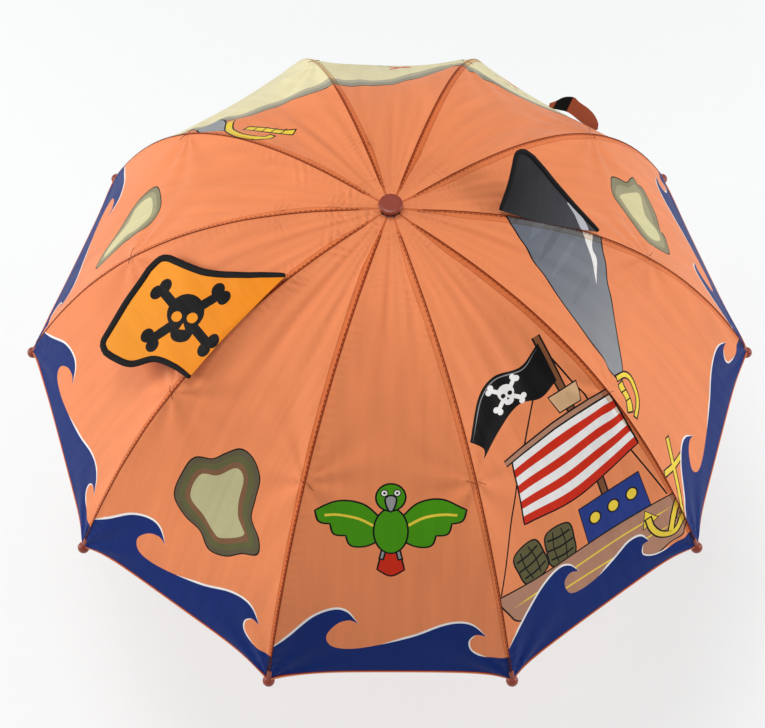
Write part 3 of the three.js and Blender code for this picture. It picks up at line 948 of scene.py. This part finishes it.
def nylon():
    """Thin printed nylon: a fine plain weave, soft sheen, slightly uneven dye, and radial streaks in its
    colour that are painted shade of its radial folds.
    """
    material, link, shader, add = node_material("printed_nylon")
    plain_set(shader, Sheen_Weight=0.03, Sheen_Roughness=0.5, Specular_IOR_Level=0.1)
    ink = add("ShaderNodeAttribute", attribute_name="ink")
    place = add("ShaderNodeTexCoord")
    patched = mottled(add, link, ink.outputs["Color"], place.outputs["Object"], 9.0, 0.95, 1.05)
    flat = add("ShaderNodeUVMap", uv_map="weave")
    drawn = add("ShaderNodeMapping")
    drawn.inputs["Scale"].default_value = (95, 9, 1)
    link(flat.outputs["UV"], drawn.inputs["Vector"])
    # The colour's radial streaks come from the same noise as the radial folds' bump below: painted shade and
    # light of those folds, over the uneven dye.
    link(mottled(add, link, patched, drawn.outputs["Vector"], 1.0, 0.955, 1.045), shader.inputs["Base Color"])
    streaks = add("ShaderNodeTexNoise", Scale=1.0, Detail=3.0)
    link(drawn.outputs["Vector"], streaks.inputs["Vector"])
    threads = []
    for axis in ("X", "Y"):
        bands = add("ShaderNodeTexWave", wave_type="BANDS", bands_direction=axis, Scale=620.0, Distortion=0.4)
        link(flat.outputs["UV"], bands.inputs["Vector"])
        threads.append(bands.outputs["Fac"])
    weave = add("ShaderNodeMath", operation="MULTIPLY")
    link(threads[0], weave.inputs[0])
    link(threads[1], weave.inputs[1])
    creases = add("ShaderNodeTexNoise", Scale=34.0, Detail=4.0)
    link(place.outputs["Object"], creases.inputs["Vector"])
    fine = add("ShaderNodeBump", Strength=0.12, Distance=0.0002)
    link(weave.outputs["Value"], fine.inputs["Height"])
    soft = add("ShaderNodeBump", Strength=0.22, Distance=0.0012)
    link(creases.outputs["Fac"], soft.inputs["Height"])
    link(fine.outputs["Normal"], soft.inputs["Normal"])
    radial = add("ShaderNodeBump", Strength=0.5, Distance=0.0016)
    link(streaks.outputs["Fac"], radial.inputs["Height"])
    link(soft.outputs["Normal"], radial.inputs["Normal"])
    link(radial.outputs["Normal"], shader.inputs["Normal"])
    glossed(add, link, shader, creases.outputs["Fac"], 0.46, 0.58)
    return material


def grained(name, colour, roughness, grain=400.0, depth=0.00005, mottle=0.06, stretch=(1, 1, 1), **settings):
    """A moulded, painted or metal surface: uneven tone, a fine grain and a little variation of its gloss."""
    material, link, shader, add = node_material(name)
    plain_set(shader, **settings)
    base = add("ShaderNodeRGB")
    base.outputs[0].default_value = (*colour, 1)
    place = add("ShaderNodeTexCoord")
    link(
        mottled(add, link, base.outputs[0], place.outputs["Object"], 60.0, 1 - mottle, 1 + mottle),
        shader.inputs["Base Color"],
    )
    mapping = add("ShaderNodeMapping")
    mapping.inputs["Scale"].default_value = stretch
    link(place.outputs["Object"], mapping.inputs["Vector"])
    noise = add("ShaderNodeTexNoise", Scale=grain, Detail=4.0)
    link(mapping.outputs["Vector"], noise.inputs["Vector"])
    bump = add("ShaderNodeBump", Strength=0.3, Distance=depth)
    link(noise.outputs["Fac"], bump.inputs["Height"])
    link(bump.outputs["Normal"], shader.inputs["Normal"])
    glossed(add, link, shader, noise.outputs["Fac"], roughness - 0.07, roughness + 0.07)
    return material


cloth = nylon()
brown_plastic = grained("brown_plastic", rgb(142, 60, 42), 0.3, Specular_IOR_Level=0.4)
black_steel = grained("black_steel", rgb(44, 44, 48), 0.36, Metallic=0.7, mottle=0.15)
bright_steel = grained("bright_steel", rgb(190, 193, 198), 0.24, Metallic=1.0, stretch=(1, 1, 0.05))
dark_thread = grained(
    "dark_thread", rgb(106, 34, 10), 0.7, grain=1500.0, depth=0.0001, Specular_IOR_Level=0.1,
)
black_tape = grained("black_tape", rgb(14, 12, 14), 0.72, grain=1600.0, depth=0.0002, Specular_IOR_Level=0.2)


# ---------------------------------------------------------------- canopy
def numbered(name, index):
    return f"{name}_{index + 1:02d}"


def hem_bead(gore):
    """The rolled edge of the hem."""
    share = np.linspace(-0.985, 0.985, 49)
    along = hem_at(share)
    path = canopy(gore)(share * half_width(along), along, -0.2)
    return tube(path, 0.0007, 6)


def folds_with_gore(piece, gore, low, high):
    """Gives a piece its own copy of its mesh."""
    radius, height, _, _ = rib_at((low + high) / 2)
    fold = numbered("gore", gore) + "_fold"
    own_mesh(piece)


def gore_half(gore, half_name, low, high):
    """The upper or lower half of a gore, moving with its gore body in place of that CAD node."""
    outline = gore_outline(low, high)
    name = numbered(f"canopy_{half_name}", gore)
    bead = hem_bead(gore) if high is None else None
    piece = printed_sheet(name, outline, gore_prints(gore), canopy(gore), gore_grid(outline), extra=bead)
    body = numbered(f"gore_{half_name}", gore)
    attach(piece, body)
    folds_with_gore(piece, gore, low, high or HEM_MIDDLE)
    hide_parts(body)


# ---------------------------------------------------------------- ribs
def rib_path(rib, low, high, lift=0.0, sideways=0.0, step=6.0):
    """Points along a rib, lifted above its centre line, in metres."""
    v = np.linspace(low, high, max(2, round((high - low) / step)) + 1)
    radius, height = beside_rib(v, lift)
    angle = rib_angle(rib)
    x = radius * math.cos(angle) - sideways * math.sin(angle)
    y = radius * math.sin(angle) + sideways * math.cos(angle)
    return np.column_stack([x, y, CROWN_HEIGHT + height]) * MM


def across_joint(piece, rib):
    """Bakes the placement of a piece that runs the rib's whole length into its mesh."""
    path = rib_path(rib, JOINT_AT - 9, JOINT_AT + 9)
    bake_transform(piece)


def rib_piece(rib):
    """The rib's rod, from its eye in the crown notch to the tip."""
    path = rib_path(rib, -1.2, RIB_LENGTH)
    points, faces, normals = tube(path, ROD_RADIUS * MM, 10)
    piece = mesh_piece(numbered("rib", rib), points, faces, black_steel, normals)
    across_joint(piece, rib)
    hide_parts(numbered("rib_upper", rib), numbered("rib_lower", rib))


def tip_piece(rib):
    """The moulded ball on the rib's end, with its neck."""
    radius, height, run, fall = (float(x) for x in rib_at(RIB_LENGTH))
    angle = rib_angle(rib)
    outward = (run * math.cos(angle), run * math.sin(angle), fall)
    centre = (radius * math.cos(angle), radius * math.sin(angle), CROWN_HEIGHT + height)
    ball = [(TIP_RADIUS * math.sin(t), TIP_RADIUS * math.cos(t)) for t in np.radians(np.arange(150, -1, -15))]
    profile = (((0, -14), (2.2, -14)), ((2.2, -14), (2.6, -12), (2.6, -5)), ((2.6, -5), ball[0]), ball)
    piece = turned(numbered("tip", rib), profile, brown_plastic, centre, outward, 24)
    fixed(piece, numbered("rib_lower", rib), "brown_plastic")


def tie_piece(rib):
    """The two loose tails, above the cloth, of the thread tied round the rib at the stretcher joint."""
    angle = rib_angle(rib)
    tangent = np.array((-math.sin(angle), math.cos(angle), 0))
    parts = []
    for side in (-1, 1):
        lean = side * (0.8 + 0.35 * math.sin(3.1 * rib))
        reach = 6.5 + 2.5 * math.sin(1.9 * rib + side)
        v = JOINT_AT + np.array((-0.4, 0.3, 1.4, 2.6)) * lean * reach / 4
        across = side * np.array((0.2, 0.32, 0.68, 1.0)) * reach
        lift = FABRIC_LIFT + np.array((0.6, 1.5, 1.7, 0.8))
        path = [
            rib_path(rib, here, here + 0.01, up)[0] + tangent * off * MM
            for here, up, off in zip(v, lift, across)
        ]
        parts.append(tube(np.array(path), 0.00025, 5))
    points, faces, normals = joined(*parts)
    piece = mesh_piece(numbered("tie", rib), points, faces, dark_thread, normals)
    fixed(piece, numbered("rib_upper", rib), "nylon_orange")


MAP_START = {5: 217, 6: 160}      # where the map's print meets a rib


def seam_piece(rib):
    """The stitched ridge along the rib, as far as the map's pale print, and the stitches beside it."""
    end = MAP_START.get(rib, HEM_CORNER - 2)
    parts = [tube(rib_path(rib, 6, end, FABRIC_LIFT + 0.12, 0.0, 5.0), 0.0004, 6)]
    for start in np.arange(14, end - 6, 4.4):
        lift = FABRIC_LIFT + 0.1 + CROWN_LIFT * (1 - float(eased((start - 3) / 20)))
        parts.append(tube(rib_path(rib, start, start + 2.5, lift, -1.5, 3.0), 0.0002, 4))
    points, faces, normals = joined(*parts)
    piece = mesh_piece(numbered("seam", rib), points, faces, dark_thread, normals)
    across_joint(piece, rib)


# ---------------------------------------------------------------- flag, sword tip, strap
def flap_frame(rib, from_share, to_share, lift, lean, side):
    """The flat frame of a piece sewn along a rib: its origin, the way along the rib, away from it, and up."""
    start, end = (np.array((*beside_rib(share * RIB_LENGTH, lift),)) for share in (from_share, to_share))
    run = (end - start) / np.linalg.norm(end - start)
    angle = rib_angle(rib)
    outward = np.array((math.cos(angle), math.sin(angle), 0))
    tangent = np.array((-math.sin(angle), math.cos(angle), 0))
    along = outward * run[0] + np.array((0, 0, run[1]))
    upward = outward * -run[1] + np.array((0, 0, run[0]))
    away = side * math.cos(lean) * tangent + math.sin(lean) * upward
    origin = outward * start[0] + np.array((0, 0, start[1] + CROWN_HEIGHT))
    raised = np.cross(along, away) * side
    return origin, along, away, raised


def flap_place(frame_of_flap, folds):
    origin, along, away, raised = frame_of_flap

    def place(u, v, lift=0.0):
        u, v = np.asarray(u, float), np.asarray(v, float)
        height = folds(u, v) + lift
        return (origin + np.outer(u, along) + np.outer(v, away) + np.outer(height, raised)) * MM

    return place


def binding(name, path, place, narrow, wide, body):
    """Black tape folded over a sheet's free edge, narrow where it runs into the seam."""
    edge = smooth(path, step=3.0)
    inward = -side_vectors(edge, False)
    half = (narrow + (wide - narrow) * np.sin(np.linspace(0, math.pi, len(edge))) ** 0.4)[:, None] / 2
    middle = edge + inward * (half - 0.3)
    upper = ((-1, 0.25), (-0.85, 0.75), (0, 0.85), (0.85, 0.75), (1, 0.25))
    rings = []
    for across, lift in upper + tuple((a, -b) for a, b in upper[::-1]):
        flat = middle + inward * across * half
        rings.append(place(flat[:, 0], flat[:, 1], lift))
    rings = np.stack(rings, 1)
    rows, sides = rings.shape[:2]
    ends = [tuple(range(sides - 1, -1, -1)), tuple(range((rows - 1) * sides, rows * sides))]
    piece = mesh_piece(name, rings.reshape(-1, 3), ring_faces(rows, sides) + ends, black_tape)
    cleaned(piece)
    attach(piece, body)
    return piece


def flap_sheet(name, outline, prints, place, rib, base, free_edge, widths):
    """A sheet sewn along a rib, with its bound edge."""
    piece = printed_sheet(name, outline, prints, place, hex_grid(outline, 3.5), base, inner=1.0)
    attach(piece, numbered("rib_upper", rib))
    tape = binding(name + "_binding", free_edge, place, *widths, numbered("rib_upper", rib))
    return piece


def flag():
    """The pop-up flag, yellow-orange with a black binding and a plain emblem."""
    def folds(u, v):
        reach = np.clip(v / 90, 0, 1)
        fan = np.sin(9 * np.arctan2(v + 5, u - 30) + 0.6) + 0.5 * np.sin(19 * np.arctan2(v + 20, u - 60))
        over_rib = 3.2 * np.sin(math.pi * np.clip(u / 115, 0, 1)) * np.exp(-np.abs(v) / 16)
        return (1.3 * np.sin(0.07 * u + 0.05 * v) + 1.0 * fan) * reach * np.exp(-v / 160) + over_rib

    place = flap_place(flap_frame(9, 0.22, 0.47, 7.5, math.radians(-5), -1), folds)
    strokes = (
        ((0, 0.8), (28.9, 29.1), (50.8, 53.5), (60.8, 70.2), (71.9, 94.4)),
        ((71.9, 94.4), (75.5, 98.6), (80.3, 99.8), (89.6, 99.5)),
        ((89.6, 99.5), (127, 87.9), (157, 78.4)),
        ((157, 78.4), (160.2, 76.2), (161.4, 70.1)),
        ((161.4, 70.1), (158, 60), (150, 45.4), (130.8, 32.8), (119.7, 11.7), (115.1, -6.9)),
    )
    free = open_path(strokes)
    outline = np.vstack([free, smooth(((115.1, -6.9), (80, -4), (40, -2), (0, 0.8)))[1:-1]])
    sun = rgb(240, 146, 30)
    glow = np.array(((-20, -20), (180, -20), (180, 110), (-20, 110)), float)
    prints = [(glow, fade((60, 0), (100, 96), rgb(234, 136, 22), rgb(240, 152, 46)))]
    prints += emblem((90, 39.5), (-0.76, 0.65), 36, BLACK, sun)
    piece = flap_sheet("flag_cloth", outline, prints, place, 9, sun, free, (3.4, 6.6))
    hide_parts("flag")


def sword_tip():
    """The pop-up end of the printed sword, dark grey with a black binding."""
    def folds(u, v):
        reach = np.clip(v / 50, 0, 1)
        return (1.6 * np.sin(0.06 * u + 0.05 * v + 0.4) + 0.5 * np.sin(0.2 * u - 0.11 * v)) * reach

    place = flap_place(flap_frame(3, 0.19, 0.395, 6.5, math.radians(30), 1), folds)
    strokes = (
        ((-1, 0.9), (3, 21.5), (4.2, 38.4), (4.5, 47)),
        ((4.5, 47), (5.6, 51), (10, 52.6), (18.5, 49.8)),
        ((18.5, 49.8), (36.2, 36.7), (54, 23.6), (73.5, 10.6), (90.3, 0.4)),
    )
    free = open_path(strokes)
    outline = np.vstack([free, smooth(((90.3, 0.4), (39.2, -1.8), (-1, 0.9)))[1:-1]])
    whole = np.array(((-5, -5), (95, -5), (95, 60), (-5, 60)), float)
    prints = [(whole, fade((0, 30), (85, 5), rgb(36, 35, 38), rgb(76, 77, 82)))]
    streak = ((57.2, 20), (65.5, 11.8), (75, -0.3), (81.5, 0.9), (72.8, 11), (62.7, 18.3))
    prints.append((smooth(streak, True), rgb(190, 192, 198)))
    steel = rgb(60, 60, 64)
    piece = flap_sheet("sword_cloth", outline, prints, place, 3, steel, free, (3.0, 4.6))
    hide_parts("sword_tip")


def strap():
    """The closure strap: tape on its edge across a gore, its free end raised, with a hook-and-loop patch."""
    gore, down = 4, 325
    middle = rib_angle(gore + 0.5)
    surface = canopy(gore)
    top = ((2, -1), (-3, 4), (-9, 11), (-18, 15), (-25, 13), (-36, 11), (-44, 8), (-50, 4), (-54, 0))
    bottom = ((-54, -3), (-50, -5), (-36, -4), (-20, -1), (-9, -3), (0, -5), (2, -1))
    outline = np.vstack([smooth(top)[:-1], smooth(bottom)[:-1]])
    downhill = np.array((math.cos(middle), math.sin(middle), -0.9))
    downhill /= np.linalg.norm(downhill)

    def place(u, v, lift=0.0):
        base = surface(u, np.full(len(u), float(down)), 0.0)
        outward = surface_normals(surface, np.column_stack([np.zeros(1), np.full(1, float(down))]))[0]
        outward *= math.copysign(1, outward[2])
        curl = 1.5 * np.sin(0.11 * u + 0.4) * np.clip(v / 14, 0, 1)
        return base + np.outer(v + 4.5, outward) * MM + np.outer(lift + curl, downhill) * MM

    patch = np.array(((-3.5, -20), (-3.5, 40), (-17.5, 40), (-17.5, -20)), float)
    ink = rgb(166, 82, 54)
    grid = hex_grid(outline, 3)
    piece = printed_sheet("strap_tape", outline, [(patch, BLACK)], place, grid, ink, inner=1.0)
    body = numbered("gore_lower", gore)
    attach(piece, body)
    folds_with_gore(piece, gore, JOINT_AT, HEM_MIDDLE)
    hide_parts("strap")
    numbered("canopy_lower", gore)


# ---------------------------------------------------------------- hard parts
def softened(node, material, width):
    """A copy of a CAD node with its edges rounded off."""
    mesh = frame["nodes"][node].data.copy()
    mesh.materials.clear()
    mesh.materials.append(material)
    piece = bpy.data.objects.new(node + "_shell", mesh)
    bpy.context.scene.collection.objects.link(piece)
    work = bmesh.new()
    work.from_mesh(mesh)
    bmesh.ops.remove_doubles(work, verts=work.verts, dist=1e-6)
    bmesh.ops.dissolve_limit(work, angle_limit=math.radians(1), verts=work.verts, edges=work.edges)
    sharp = [e for e in work.edges if len(e.link_faces) == 2 and e.calc_face_angle() > math.radians(40)]
    bmesh.ops.bevel(work, geom=sharp, offset=width * MM, segments=2, affect="EDGES", clamp_overlap=True)
    work.to_mesh(mesh)
    work.free()
    mesh.shade_smooth()
    mesh.set_sharp_from_angle(angle=math.radians(38))
    return piece


def turned(name, profile, material, origin, axis, segments=48):
    """A turned part; profile is its (radius, height), as curved strokes between corners."""
    path = open_path(profile, 0.6)
    axis = np.array(axis, float)
    side = np.cross(axis, (0.0, 1.0, 0.0) if abs(axis[1]) < 0.7 else (1.0, 0.0, 0.0))
    side /= np.linalg.norm(side)
    other = np.cross(axis, side)
    turn = np.linspace(0, 2 * math.pi, segments, endpoint=False)
    spokes = np.outer(np.cos(turn), side) + np.outer(np.sin(turn), other)
    points = np.vstack([np.array(origin) + axis * height + spokes * radius for radius, height in path])
    piece = mesh_piece(name, points * MM, ring_faces(len(path), segments), material)
    cleaned(piece, 2e-6, 35)
    return piece


def crown_cap():
    """The button on the shaft's end: a wide flat top over a short side."""
    profile = (
        ((0, 12.2), (7.2, 12.15), (8.8, 12.0)),
        ((8.8, 12.0), (9.8, 11.6), (10.3, 10.8), (10.4, 9.8), (10.0, 8.8)),
        ((10.0, 8.8), (7.4, 8)),
        ((7.4, 8), (6.8, 3.8)),
        ((6.8, 3.8), (0, 3.75)),
    )
    piece = turned("crown_button", profile, brown_plastic, (0, 0, CROWN_HEIGHT), (0, 0, 1), 64)
    fixed(piece, "root", "brown_plastic", "ferrule_cap")


def handle():
    """The moulded handle: a grip with a collar round the shaft, running on into a rounded crook."""
    crook, foot, thick, bend_points = 26, -40, 9.0, 25
    turn = np.linspace(0, math.pi, bend_points)
    bend = [(crook - crook * math.cos(t), foot - crook * math.sin(t)) for t in turn]
    hook = [(0, foot + 15), *bend, (2 * crook, foot + 6), (2 * crook, foot + 9)]
    radii = np.array([thick] * (bend_points + 1) + [8.6, 6.5])      # rounded off at the hook's end
    path = np.array([(x, 0, z) for x, z in hook])
    points, faces, normals = tube(path * MM, radii * MM, 28)
    hooked = mesh_piece("handle_crook", points, faces, brown_plastic, normals)
    profile = (
        ((5.2, 42), (8.4, 42)),
        ((8.4, 42), (10.6, 41), (12.6, 39.4), (13, 37), (12.6, 34.6), (11.4, 32.6)),
        ((11.4, 32.6), (10.8, 20), (11.2, 0), (10.8, -20), (9.9, -34), (8.8, -41)),
        ((8.8, -41), (5.2, -41)),
        ((5.2, -41), (5.2, 42)),
    )
    grip = turned("handle_grip", profile, brown_plastic, (0, 0, 0), (0, 0, 1), 48)
    for piece in (hooked, grip):
        fixed(piece, "root", "brown_plastic", "handle")


def stretcher_pin(rib):
    """Place, in millimetres, and direction of the pin that joins a stretcher to its rib."""
    name = numbered("stretcher", rib) + "_hinge"
    joint = next(joint for joint in frame["joints"] if joint["name"] == name)
    return np.array(joint["pos_m"]) / MM, joint["axis"]


def rivet_piece(rib):
    """The rivet through the stretcher's fork, with the rib's lug between the fork's cheeks."""
    head, pin, lug = 1.4, 0.8, 2.6
    cheek, inner, end = 2.4, 1.0, 3.0
    profile = (
        ((0, -end), (0.9, 0.1 - end), (head, -cheek)),
        ((head, -cheek), (pin, -cheek)),
        ((pin, -cheek), (pin, -inner)),
        ((pin, -inner), (lug, -inner)),
        ((lug, -inner), (lug, inner)),
        ((lug, inner), (pin, inner)),
        ((pin, inner), (pin, cheek)),
        ((pin, cheek), (head, cheek)),
        ((head, cheek), (0.9, end - 0.1), (0, end)),
    )
    piece = turned(numbered("rivet", rib), profile, bright_steel, *stretcher_pin(rib), 20)
    fixed(piece, numbered("rib_upper", rib), "bright_steel")


def wire_ring(name, height, body):
    """A wire ring that threads ten eyes; its ends meet at the back, inside a tooth."""
    turn = np.radians(np.arange(92, 450, 4))
    radius = EYE_RADIUS
    path = np.column_stack((radius * np.cos(turn), radius * np.sin(turn), np.full(len(turn), height)))
    points, faces, normals = tube(path, 0.5, 8)
    piece = mesh_piece(name, points * MM, faces, bright_steel, normals)
    fixed(piece, body, "bright_steel")


def hard_parts():
    for node, material, width, body, slot in (
        ("crown_notch", brown_plastic, 0.25, "root", "brown_plastic"),
        ("runner", brown_plastic, 0.25, "runner", "brown_plastic"),
        ("shaft", bright_steel, 0.12, "root", "bright_steel"),
        ("catch_top", bright_steel, 0.15, "catch_top", "bright_steel"),
        ("catch_bottom", bright_steel, 0.15, "catch_bottom", "bright_steel"),
    ):
        fixed(softened(node, material, width), body, slot, node)
    for rib in range(GORES):
        node = numbered("stretcher", rib)
        fixed(softened(node, black_steel, 0.2), node, "rib_steel", node)


# ---------------------------------------------------------------- studio
def studio():
    """A pale floor under the handle and three soft lights."""
    floor_height = cad_box[0][2] - 0.001
    size = 12
    corners = [(-size, -size), (size, -size), (size, size), (-size, size)]
    glow = {"Emission_Color": (0.95, 1, 1.01, 1), "Emission_Strength": 0.42}
    material = grained("floor_paper", rgb(192, 192, 192), 0.8, grain=30.0, mottle=0.004, **glow)
    floor = mesh_piece("floor", [(x, y, floor_height) for x, y in corners], [(0, 1, 2, 3)], material)
    world = bpy.data.worlds.new("studio")
    bpy.context.scene.world = world
    world.use_nodes = True
    world.node_tree.nodes["Background"].inputs["Color"].default_value = (1, 1, 1, 1)
    world.node_tree.nodes["Background"].inputs["Strength"].default_value = 0.43
    for name, place, width, power in (
        ("left", (-2.2, 0.1, 1.2), 1.1, 27),
        ("right", (2.2, 0.1, 1.2), 1.1, 23),
        ("over", (-0.4, 0.4, 3.2), 1.2, 27),
    ):
        lamp = bpy.data.lights.new(name, "AREA")
        lamp.shape = "DISK"
        lamp.size = width
        lamp.energy = power
        light = bpy.data.objects.new(name, lamp)
        light.location = place
        light.rotation_euler = (Vector((0, 0, 0.4)) - Vector(place)).to_track_quat("-Z", "Y").to_euler()
        bpy.context.scene.collection.objects.link(light)


def camera():
    """The photograph's view: its aim, height and distance."""
    aim = Vector((-0.007, 0, 0.2863))
    elevation = math.radians(61.51)
    distance = 1.699
    lens = bpy.data.cameras.new("camera")
    lens.lens = 80.47
    lens.sensor_width = 36
    lens.sensor_fit = "HORIZONTAL"
    eye = bpy.data.objects.new("camera", lens)
    eye.location = aim + distance * Vector((0, -math.cos(elevation), math.sin(elevation)))
    eye.rotation_euler = (aim - eye.location).to_track_quat("-Z", "Y").to_euler()
    bpy.context.scene.collection.objects.link(eye)
    bpy.context.scene.camera = eye


# ---------------------------------------------------------------- assembly
camera()
studio()
for index in range(GORES):
    rib_piece(index)
    tip_piece(index)
    seam_piece(index)
    tie_piece(index)
    rivet_piece(index)
for index in range(GORES):
    gore_half(index, "upper", 0.5, JOINT_AT)
    gore_half(index, "lower", JOINT_AT, None)
flag()
sword_tip()
strap()
crown_cap()
handle()
hard_parts()
wire_ring("crown_wire", CROWN_HEIGHT, "root")
wire_ring("runner_wire", 2 * stretcher_pin(0)[0][2] - CROWN_HEIGHT, "runner")

bpy.context.scene.view_settings.view_transform = "Standard"
